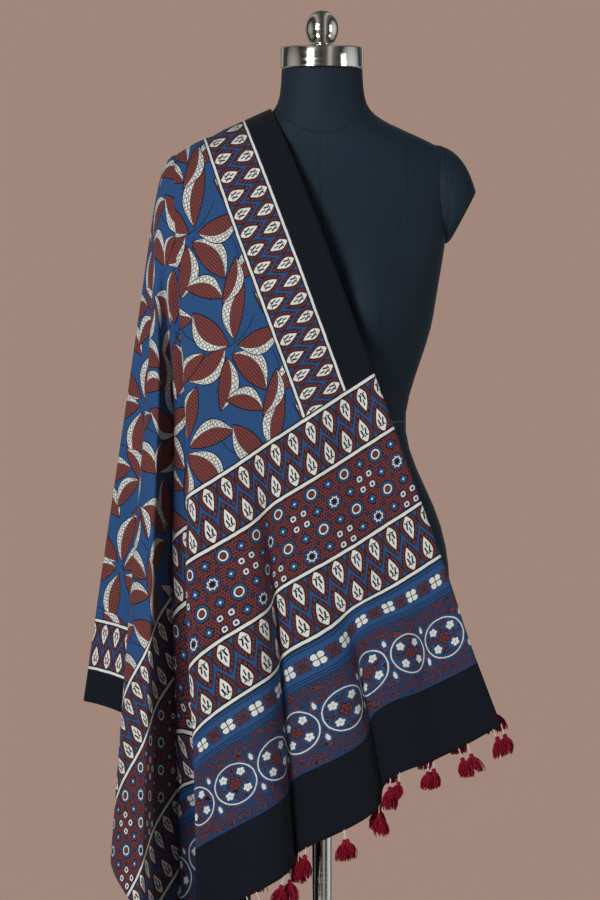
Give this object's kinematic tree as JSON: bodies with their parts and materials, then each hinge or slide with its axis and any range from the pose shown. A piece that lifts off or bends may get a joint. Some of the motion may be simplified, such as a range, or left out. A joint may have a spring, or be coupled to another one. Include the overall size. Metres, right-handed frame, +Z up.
{
  "type": "ajrakh cloth draped on a dress form stand",
  "caption": "Block-printed ajrakh stole with tasselled ends, draped over one shoulder of a headless dress form on a pole and round base.",
  "frame": {"origin": "middle of the base's flat underside, on the surface it stands on", "axes": "+Z up, the front of the form looks to -Y, the cloth hangs from the shoulder at -X"},
  "size_m": [0.5365, 0.38, 1.5099],
  "materials": {
    "printed_cotton": "soft plain-woven cotton, indigo, madder, black and white block print",
    "tassel_yarn": "crimson cut yarn on off-white cord",
    "form_cover": "dull navy stretch cover with sewn seams",
    "chrome": "polished",
    "base_steel": "brushed"
  },
  "bodies": {
    "root": {"back_tassel_01": "tassel_yarn", "back_tassel_02": "tassel_yarn", "back_tassel_03": "tassel_yarn", "back_tassel_04": "tassel_yarn", "back_tassel_05": "tassel_yarn", "back_tassel_06": "tassel_yarn", "back_tassel_07": "tassel_yarn", "back_tassel_08": "tassel_yarn", "back_tassel_09": "tassel_yarn", "back_tassel_10": "tassel_yarn", "back_tassel_11": "tassel_yarn", "back_tassel_12": "tassel_yarn", "back_tassel_13": "tassel_yarn", "back_tassel_14": "tassel_yarn", "back_tassel_15": "tassel_yarn", "back_tassel_16": "tassel_yarn", "back_tassel_17": "tassel_yarn", "back_tassel_18": "tassel_yarn", "back_tassel_19": "tassel_yarn", "cap_ball": "chrome", "cloth": "printed_cotton", "form_torso": "form_cover", "front_tassel_01": "tassel_yarn", "front_tassel_02": "tassel_yarn", "front_tassel_03": "tassel_yarn", "front_tassel_04": "tassel_yarn", "front_tassel_05": "tassel_yarn", "front_tassel_06": "tassel_yarn", "front_tassel_07": "tassel_yarn", "front_tassel_08": "tassel_yarn", "front_tassel_09": "tassel_yarn", "front_tassel_10": "tassel_yarn", "front_tassel_11": "tassel_yarn", "front_tassel_12": "tassel_yarn", "front_tassel_13": "tassel_yarn", "front_tassel_14": "tassel_yarn", "front_tassel_15": "tassel_yarn", "front_tassel_16": "tassel_yarn", "front_tassel_17": "tassel_yarn", "front_tassel_18": "tassel_yarn", "front_tassel_19": "tassel_yarn", "neck_cap": "chrome", "stand_base": "base_steel", "stand_pole": "chrome"}
  },
  "joints": []
}
